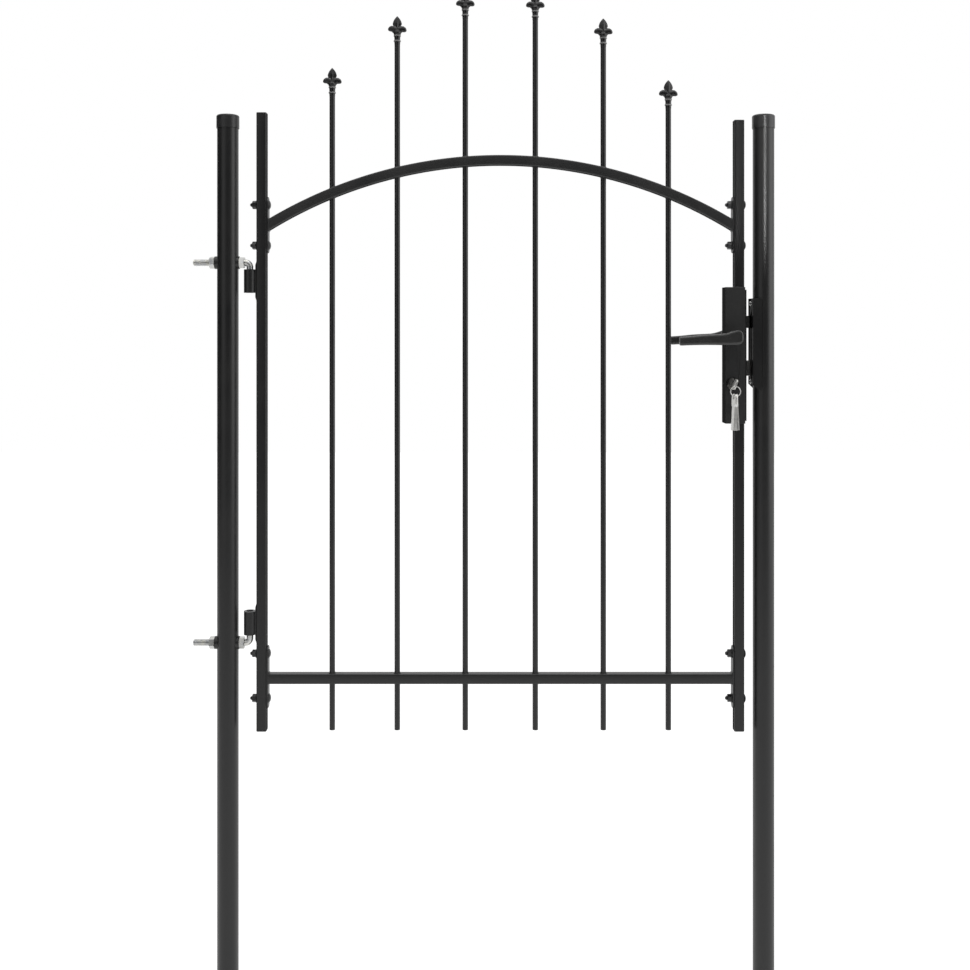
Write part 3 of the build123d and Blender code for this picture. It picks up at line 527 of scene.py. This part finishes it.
# Hinge bolts, nuts and plate bolts
def make_hinge_bolts():
    """Threaded rods through the posts, each bent up or down into a pin, and their nuts."""
    bend = 8.0
    count = 24
    for name, node, height, way in (
        ("upper_hinge_bolt", "upper_hinge_rod", ROD_HEIGHTS[0], -1),
        ("lower_hinge_bolt", "lower_hinge_rod", ROD_HEIGHTS[1], 1),
    ):
        low, high = span(node)
        pin_end = low.z if way < 0 else high.z
        bm = bmesh.new()
        start = ROD_START
        straight = PIN_X - bend
        rings = []
        for r, x in ((3.4, start), (4.9, start + 0.9)):
            rings.append(circle(r, x, count))
        rings += thread_rings(start + 1.4, straight - 1.0, ROD_RADIUS, pitch=1.75, depth=0.85, count=count)
        rings.append(circle(ROD_RADIUS - 0.1, straight, count))
        points = [[Vector((z, -x, y)) for x, y, z in ring] for ring in rings]
        for k in range(1, 13):
            a = math.radians(90 * k / 12)
            origin = Vector((straight + bend * math.sin(a), 0, bend * (1 - math.cos(a))))
            out = Vector((-math.sin(a), 0, math.cos(a)))
            ring = circle(ROD_RADIUS, 0, count)
            points.append([origin + out * y + Vector((0, -x, 0)) for x, y, z in ring])
        rise = abs(pin_end - height)
        last = points[-1]
        for climb, share in ((rise - 0.8 - bend, 1.0), (rise - bend, 0.86)):
            centre = Vector((PIN_X, 0, bend))
            points.append([centre + (p - centre) * share + Vector((0, 0, climb)) for p in last])
        flat = [[Vector((p.x, p.y, height + way * p.z)) for p in ring] for ring in points]
        skin(bm, flat)
        piece(name, bm, "posts", "zinc_steel", (node,), crease=50)

    bm = bmesh.new()
    for height in ROD_HEIGHTS:
        for x, way, turn in ((-POST_RADIUS - SADDLE_OUTER, -1, 12), (POST_RADIUS + SADDLE_INNER, 1, 34)):
            at = along((x, 0, height), (way, 0, 0)) @ Matrix.Rotation(math.radians(turn), 4, "Z")
            hexagon_nut(bm, flats=19.0, height=9.5, bore=ROD_RADIUS - 0.3, at=at)
    piece("hinge_nuts", bm, "posts", "zinc_steel", ("hinge_rod_nuts",), crease=25)


def make_plate_bolts():
    """Domed heads on the stiles' outer faces, with washers and nuts on the plates behind."""
    grip, shank, thickness, count = 21.0, 4.0, 1.6, 20
    dome = [
        (0.02, -4.0), (1.6, -3.9), (3.4, -3.6), (5.2, -3.0), (6.8, -2.1),
        (7.9, -1.2), (8.4, -0.5), (8.5, -0.15), (8.4, 0.0),
    ]
    tip = ((3.6, 9.6), (2.7, 11.2), (2.0, 12.1), (0.9, 12.1))
    washer = [(4.1, 0.0), (7.7, 0.0), (8.0, 0.3), (8.0, 1.3), (7.7, thickness), (4.1, thickness)]
    sides = (("hinge_stile", bottom_low.x), ("latch_stile", upper_stile_high.x))
    for side, head_x in sides:
        heads = bmesh.new()
        nuts = bmesh.new()
        for z in BOLT_HEIGHTS:
            at = along((head_x, 0, z), (-1, 0, 0))
            lathe(heads, dome + [(shank, 0.0), (shank, grip + 1.0)], at, 32)
            thread = thread_rings(grip + 0.8, grip + 9.0, shank, pitch=1.25, depth=0.6, count=count)
            skin(heads, thread + [circle(r, grip + rise, count) for r, rise in tip], at)
            place = along((head_x - grip, 0, z), (-1, 0, 0))
            lathe(nuts, washer, place, 32, closed=True)
            turn = Matrix.Rotation(math.radians(rng.uniform(0, 60)), 4, "Z")
            seat = place @ Matrix.Translation((0, 0, thickness)) @ turn
            hexagon_nut(nuts, flats=13.0, height=6.5, bore=3.7, at=seat)
        piece(side + "_domed_bolts", heads, "leaf", "black_fastener", (side + "_bolts",), crease=40)
        piece(side + "_hex_nuts", nuts, "leaf", "black_fastener", (side + "_nuts",), crease=25)


# Weld beads
def ring_points(x, z, radius, slope=0.0, count=34):
    """A circle around an upright bar, on a surface that slopes along X."""
    points = []
    for k in range(count):
        a = 2 * math.pi * k / count
        dx = radius * math.cos(a)
        points.append((x + dx, radius * math.sin(a), z + slope * dx))
    return points


def weld_bars():
    """Beads around each bar, above and below the arch and the bottom rail."""
    bm = bmesh.new()
    radius, size = BAR_RADIUS + 0.5, 1.25
    for x in BARS:
        for rise, lift in ((HALF, 0.1), (-HALF, -0.1)):
            z = arch_height(x, rise)
            slope = (LEAF_MIDDLE - x) / (z - ARCH_CENTRE)
            bead(bm, ring_points(x, z + lift, radius, slope), size, closed=True)
        for z in (bottom_low.z, bottom_high.z):
            bead(bm, ring_points(x, z, radius), size, closed=True)
    piece("bar_weld_beads", bm, "leaf", "powder_coat", crease=60)


def weld_rails():
    """Beads along the four edges of each rail's ends, on the end plates."""
    bm = bmesh.new()
    side_size, bottom_size, arch_size = 1.2, 1.5, 1.6
    for x, way in ((bottom_low.x, 1), (bottom_high.x, -1)):
        side, level = x + way * 0.3, x + way * 0.4
        low, high = bottom_low.z, bottom_high.z
        for y in (-HALF * 0.97, HALF * 0.97):
            bead(bm, line_points((side, y, low + 1), (side, y, high - 1)), side_size)
        for z in (low, high):
            bead(bm, line_points((level, -HALF + 1, z), (level, HALF - 1, z)), bottom_size)
        low, high = arch_height(x, -HALF), arch_height(x, HALF)
        for z in (high, low):
            bead(bm, line_points((level, -HALF + 1, z), (level, HALF - 1, z)), arch_size)
        for y in (-HALF * 0.97, HALF * 0.97):
            bead(bm, line_points((side, y, low + 1), (side, y, high - 1)), side_size)
    piece("rail_weld_beads", bm, "leaf", "powder_coat", crease=60)


def weld_hinges():
    """Beads between barrel and pad, and between pad and stile."""
    bm = bmesh.new()
    rows = ((stile_low.x - 4.6, 5.9, 20, 1.5), (stile_low.x - 0.4, 7.0, 31, 1.0))
    for node in ("upper_hinge_barrel", "lower_hinge_barrel"):
        level = middle(node, Z)
        for x, half_y, reach, size in rows:
            for y in (-half_y, half_y):
                bead(bm, line_points((x, y, level - reach), (x, y, level + reach)), size)
    piece("hinge_weld_beads", bm, "leaf", "powder_coat", crease=60)


def weld_case():
    """Beads where the stile's two lengths meet the lock case."""
    bm = bmesh.new()
    left, right, inset, size = upper_stile_low.x, upper_stile_high.x, 1.5, 1.1
    for z in (case_low.z, case_high.z):
        for y in (-HALF, HALF):
            bead(bm, line_points((left + inset, y, z), (right - inset, y, z)), size)
        bead(bm, line_points((left, -HALF + inset, z), (left, HALF - inset, z)), size)
    piece("case_weld_beads", bm, "leaf", "powder_coat", crease=60)


# Lock furniture

# The arm from its root to its tip: place along X, top, foot and half thickness, from the lever's axis
LEVER_STATIONS = (
    (11.2, 3.0, -3.6, 4.2), (10.4, 7.2, -7.4, 5.2), (8.6, 10.2, -10.6, 5.8), (5.4, 12.4, -13.0, 6.0),
    (0.0, 13.0, -13.9, 6.0), (-8.0, 10.3, -14.1, 6.0), (-17.0, 7.4, -14.1, 6.0), (-26.0, 5.7, -14.0, 6.0),
    (-36.0, 5.2, -13.9, 6.0), (-50.0, 4.6, -13.8, 6.0), (-62.0, 3.8, -13.9, 6.0), (-75.0, 2.4, -14.1, 6.0),
    (-88.0, 1.3, -14.5, 6.0), (-96.0, 0.8, -14.9, 6.0), (-99.2, 0.5, -14.8, 5.9), (-100.4, 0.0, -12.8, 5.2),
)

# Distances from the gate's plane: the arm's middle, and the case's face, where the neck starts
LEVER_OUT = 50.95
CASE_FACE = 15.0

# The neck from its foot at the lock case out to the arm, as (radius, distance)
LEVER_NECK = (
    (10.9, 0.35), (11.5, 0.9), (11.5, 9.9), (10.8, 10.7), (9.3, 11.0), (9.0, 12.2), (9.0, 24.0),
    (9.4, 27.0), (10.4, 30.0), (11.0, 32.5), (10.6, 38.0), (7.0, 40.5),
)


def superellipse(half_u, half_v, count=32, power=4.0):
    """A rounded rectangle as a smooth closed curve, at even angles about its middle."""
    points = []
    for a in turns_of(count):
        c, s = math.cos(a), math.sin(a)
        u = half_u * math.copysign(abs(c) ** (2 / power), c)
        v = half_v * math.copysign(abs(s) ** (2 / power), s)
        points.append((u, v))
    return points


def make_levers():
    """An arm fused with its round neck, on each side of the lock."""
    for node, way in (("front_lever", -1), ("back_lever", 1)):
        bm = bmesh.new()
        rings = []
        for x, top, foot, half in LEVER_STATIONS:
            height = LEVER_Z + (top + foot) / 2
            ring = superellipse(half, (top - foot) / 2)
            rings.append([(LEVER_X + x, way * LEVER_OUT + y, height + z) for y, z in ring])
        skin(bm, rings)
        lathe(bm, LEVER_NECK, along((LEVER_X, way * CASE_FACE, LEVER_Z), (0, way, 0)), 36)
        piece(node + "_handle", bm, "levers", "lever_coat", (node,), voxel=0.7, relax=3)


def flat_key(bm, at, bow, hole, blade, thickness=2.4):
    """A key in its own XZ plane, with a cut blade towards -X.

    The bow is (middle, half length, half height), its hole (place, radius)
    and the blade (start, end, height).
    """
    bow_x, half_length, half_height = bow
    hole_x, hole_radius = hole
    half = thickness / 2
    outline = superellipse(half_length, half_height, 40, 2.0 + 0.16 * min(half_length, half_height))

    def bow_ring(scale, y):
        return [(bow_x + u * scale, y, v * scale) for u, v in outline]

    def hole_ring(grow, y):
        return [(hole_x + u, y, v) for u, v, w in circle(hole_radius + grow, 0, len(outline))]

    rings = [
        bow_ring(0.95, half), bow_ring(1.0, half - 0.5), bow_ring(1.0, 0.5 - half), bow_ring(0.95, -half),
        hole_ring(0.3, -half), hole_ring(0.0, 0.3 - half), hole_ring(0.0, half - 0.3), hole_ring(0.3, half),
    ]
    skin(bm, rings, at, closed=True)
    start, end, height = blade
    rings = []
    steps = 22
    back, step, front = half * 0.9, 0.3, 0.1 - half
    for k in range(steps + 1):
        x = start + (end - start) * k / steps
        cut = 0.0 if k < 7 or k > steps - 2 else 1.3 * (0.5 + 0.5 * math.sin(2.4 * k))
        low, high = -height / 2 + cut, height / 2
        if k == steps:
            low, high = -height / 4, height / 4
        rings.append([(x, back, low), (x, back, high), (x, step, high), (x, front, high), (x, front, low)])
    skin(bm, rings, at)


# The key in the lock: its tilt, its start in front of the cylinder, and its hole's distance from there
KEY_TILT = 18
KEY_OUT = 1.0
KEY_HOLE = 22.0

# Split ring: its middle below the key's axis, its radius and its wire's
RING_DROP, RING_RADIUS, RING_WIRE = 12.1, 8.7, 0.85

# Spare keys: place along the ring, lift, and turns about their length and in the gate's plane
SPARE_KEYS = (
    (-2.5, -0.2, 12, -3.2), (-0.8, 0.0, 5, -1.1), (0.9, -0.1, -6, 1.1), (2.6, 0.1, -13, 3.2),
)


def make_keys():
    """The key in the lock, a split ring of two turns in its hole, and four spare keys on the ring."""
    mouth = cylinder_low.y - KEY_OUT
    seat = Matrix.Translation((KEY_X, mouth, KEY_Z)) @ Matrix.Rotation(math.radians(KEY_TILT), 4, "Y")
    axes = Matrix(((0, 1, 0, 0), (-1, 0, 0, 0), (0, 0, 1, 0), (0, 0, 0, 1)))
    bm = bmesh.new()
    flat_key(bm, seat @ axes, (16.5, 12.4, 10.0), (KEY_HOLE, 4.2), (6.0, -12.0, 8.0))
    piece("key_in_lock", bm, "key", "lock_nickel", ("gate_key",), crease=30)

    bm = bmesh.new()
    ring_centre = Vector((KEY_X - 0.1, mouth - KEY_HOLE, KEY_Z - RING_DROP))
    count = 96
    rings = []
    for k in range(count + 1):
        a = 4 * math.pi * k / count
        out = Vector((math.sin(a), 0, math.cos(a)))
        shift = Vector((0, (k / count - 0.5) * 2.1 * RING_WIRE, 0))
        centre = ring_centre + out * RING_RADIUS + shift
        ring = []
        for t in turns_of(10):
            ring.append(centre + out * RING_WIRE * math.cos(t) + Vector((0, RING_WIRE * math.sin(t), 0)))
        rings.append(ring)
    skin(bm, rings)
    piece("split_ring", bm, "key", "lock_nickel", crease=50)

    bm = bmesh.new()
    for place, lift, yaw, fan in SPARE_KEYS:
        a = place / RING_RADIUS
        hang = ring_centre + Vector((math.sin(a) * RING_RADIUS, 0, -math.cos(a) * RING_RADIUS))
        at = (
            Matrix.Translation(hang + Vector((0, 0, lift)))
            @ Matrix.Rotation(math.radians(-fan), 4, "Y")
            @ Matrix.Rotation(math.radians(90 + yaw), 4, "Z")
            @ Matrix.Rotation(math.radians(-90), 4, "Y")
        )
        flat_key(bm, at, (-7.6, 12.2, 7.8), (-2.2, 3.4), (-18.0, -60.0, 9.0), 2.3)
    piece("spare_keys", bm, "key", "lock_nickel", crease=30)


def make_screws():
    """Domed heads on the keeper and flat ones on the faceplate, each with a shallow round recess."""
    domed = ((4.2, -0.8), (4.2, 0.3), (3.9, 0.9), (3.0, 1.5), (1.4, 1.8), (0.9, 1.1), (0.02, 1.0))
    flat = ((4.0, -0.8), (4.0, 0.1), (3.4, 0.5), (2.0, 0.9), (1.2, 0.9), (0.8, 0.3), (0.02, 0.2))
    rows = (
        ("keeper_screws", "posts", domed, keeper_low.x, -1, (keeper_high.z - 9.0, keeper_low.z + 12.5)),
        ("faceplate_screws", "leaf", flat, plate_high.x, 1, (plate_high.z - 9.0, plate_low.z + 9.0)),
    )
    for name, body, profile, x, way, heights in rows:
        bm = bmesh.new()
        for z in heights:
            lathe(bm, profile, along((x, 0, z), (way, 0, 0)), 28)
        piece(name, bm, body, "lock_steel", crease=40)


def soften(node, width, segments=2):
    """Rounds a kept CAD node's edges without changing its mesh."""
    obj = frame["nodes"][node]
    weld = obj.modifiers.new("weld", "WELD")
    weld.merge_threshold = 0.01 * MM
    bevel = obj.modifiers.new("bevel", "BEVEL")
    bevel.width = width * MM
    bevel.segments = segments
    bevel.limit_method = "ANGLE"
    bevel.angle_limit = math.radians(50)
    bevel.use_clamp_overlap = True
    normals = obj.modifiers.new("normals", "WEIGHTED_NORMAL")
    normals.keep_sharp = False


def dress_nodes():
    """Gives every kept node its slot's material, and soft edges to the fabricated ones."""
    for row in frame["record"]["subparts"]:
        data = frame["nodes"][row["node"]].data
        data.materials.clear()
        data.materials.append(FINISHES.get(row["node"], MATERIALS[row["material_slot"]]))
    for node, width in (
        ("lock_case", 1.0),
        ("lock_faceplate", 0.5),
        ("keeper", 0.6),
        ("upper_end_plates", 0.5),
        ("lower_end_plates", 0.5),
        ("latch_bolt", 0.5),
        ("dead_bolt", 0.6),
    ):
        soften(node, width)


# Studio, in metres
WORLD_LIGHT = 0.88


def background_rays(tree):
    """1 for the rays that show the background: camera, glossy and transmission."""
    path = tree.nodes.new("ShaderNodeLightPath")
    total = path.outputs["Is Camera Ray"]
    for name in ("Is Glossy Ray", "Is Transmission Ray"):
        add = tree.nodes.new("ShaderNodeMath")
        add.operation = "ADD"
        add.use_clamp = True
        tree.links.new(total, add.inputs[0])
        tree.links.new(path.outputs[name], add.inputs[1])
        total = add.outputs[0]
    return total


def make_floor():
    """A plain floor that is white to the camera and keeps the object's shadow."""
    bm = bmesh.new()
    size = 9.0
    corners = [bm.verts.new((x * size, y * size, 0)) for x, y in ((-1, -1), (1, -1), (1, 1), (-1, 1))]
    bm.faces.new(corners)
    mesh = bpy.data.meshes.new("floor")
    bm.to_mesh(mesh)
    bm.free()
    floor = bpy.data.objects.new("floor", mesh)
    scene.collection.objects.link(floor)
    material = bpy.data.materials.new("floor")
    material.use_nodes = True
    tree = material.node_tree
    tree.nodes.clear()
    output = tree.nodes.new("ShaderNodeOutputMaterial")
    mix = tree.nodes.new("ShaderNodeMixShader")
    plain = tree.nodes.new("ShaderNodeBsdfDiffuse")
    plain.inputs["Color"].default_value = (0.8, 0.8, 0.8, 1)
    seen = tree.nodes.new("ShaderNodeBsdfDiffuse")
    seen.inputs["Color"].default_value = (0.3, 0.3, 0.3, 1)
    glow = tree.nodes.new("ShaderNodeEmission")
    glow.inputs["Color"].default_value = (1, 1, 1, 1)
    glow.inputs["Strength"].default_value = WORLD_LIGHT
    both = tree.nodes.new("ShaderNodeAddShader")
    tree.links.new(seen.outputs[0], both.inputs[0])
    tree.links.new(glow.outputs[0], both.inputs[1])
    tree.links.new(background_rays(tree), mix.inputs["Fac"])
    tree.links.new(plain.outputs[0], mix.inputs[1])
    tree.links.new(both.outputs[0], mix.inputs[2])
    tree.links.new(mix.outputs[0], output.inputs["Surface"])
    mesh.materials.append(material)


def make_world():
    """White all round. As light it is a little dimmer than as background."""
    world = bpy.data.worlds.new("studio")
    scene.world = world
    world.use_nodes = True
    tree = world.node_tree
    tree.nodes.clear()
    output = tree.nodes.new("ShaderNodeOutputWorld")
    light = tree.nodes.new("ShaderNodeBackground")
    light.inputs["Color"].default_value = (1, 1, 1, 1)
    light.inputs["Strength"].default_value = WORLD_LIGHT
    white = tree.nodes.new("ShaderNodeBackground")
    white.inputs["Color"].default_value = (1, 1, 1, 1)
    white.inputs["Strength"].default_value = 1.0
    mix = tree.nodes.new("ShaderNodeMixShader")
    tree.links.new(background_rays(tree), mix.inputs["Fac"])
    tree.links.new(light.outputs[0], mix.inputs[1])
    tree.links.new(white.outputs[0], mix.inputs[2])
    tree.links.new(mix.outputs[0], output.inputs["Surface"])


def make_lamp(name, place, target, size, power, spread=180):
    """A rectangular lamp at a place, turned to a target. Its spread is in degrees."""
    lamp = bpy.data.lights.new(name, "AREA")
    lamp.shape = "RECTANGLE"
    lamp.spread = math.radians(spread)
    lamp.size, lamp.size_y = size
    lamp.energy = power
    obj = bpy.data.objects.new(name, lamp)
    obj.location = place
    obj.rotation_euler = (Vector(place) - Vector(target)).to_track_quat("Z", "Y").to_euler()
    obj.visible_camera = False
    scene.collection.objects.link(obj)


def make_dark_wall():
    """The unlit side of the studio, around the camera and to the left, seen only in reflections."""
    bm = bmesh.new()
    middle_x, radius, height = 0.46, 4.5, 3.6
    start, end, count = 140, 318, 48
    rows = []
    for k in range(count + 1):
        a = math.radians(start + (end - start) * k / count)
        x, y = middle_x + radius * math.cos(a), radius * math.sin(a)
        rows.append([bm.verts.new((x, y, z)) for z in (0.0, height)])
    for first, second in zip(rows, rows[1:]):
        bm.faces.new((first[0], first[1], second[1], second[0]))
    mesh = bpy.data.meshes.new("dark_wall")
    bm.to_mesh(mesh)
    bm.free()
    wall = bpy.data.objects.new("dark_wall", mesh)
    scene.collection.objects.link(wall)
    material = bpy.data.materials.new("dark_wall")
    material.use_nodes = True
    shader = material.node_tree.nodes["Principled BSDF"]
    shader.inputs["Base Color"].default_value = (0.045, 0.045, 0.045, 1)
    shader.inputs["Roughness"].default_value = 0.9
    mesh.materials.append(material)
    wall.visible_camera = False


def make_camera():
    """Level, in front of the leaf's middle, shifted down to the photograph's frame."""
    distance, width, rise = 2.1, 1.746, 1.22
    middle_x, middle_z = 0.4628, 0.9304
    data = bpy.data.cameras.new("view")
    data.sensor_width = 36
    data.lens = 36 * distance / width
    data.shift_y = (middle_z - rise) / width
    camera = bpy.data.objects.new("view", data)
    camera.location = (middle_x, -distance, rise)
    camera.rotation_euler = (math.pi / 2, 0, 0)
    scene.collection.objects.link(camera)
    scene.camera = camera


make_camera()
make_world()
make_floor()
make_dark_wall()
make_lamp("key", (3.1, -0.8, 1.9), (0.5, 0, 1.0), (2.0, 2.6), 22)
make_lamp("fill", (-1.9, -2.8, 1.7), (0.5, 0, 1.0), (2.4, 2.2), 12)
make_lamp("top", (0.5, -0.5, 3.3), (0.5, 0, 1.0), (1.8, 0.4), 12)
make_lamp("strip", (1.02, -1.5, 1.68), (0.99, 0, 1.52), (0.05, 0.32), 0.055, 6)
dress_nodes()
make_tubes()
make_spears()
make_hinge_bolts()
make_plate_bolts()
weld_bars()
weld_rails()
weld_hinges()
weld_case()
make_levers()
make_keys()
make_screws()
scene.view_settings.view_transform = "Standard"
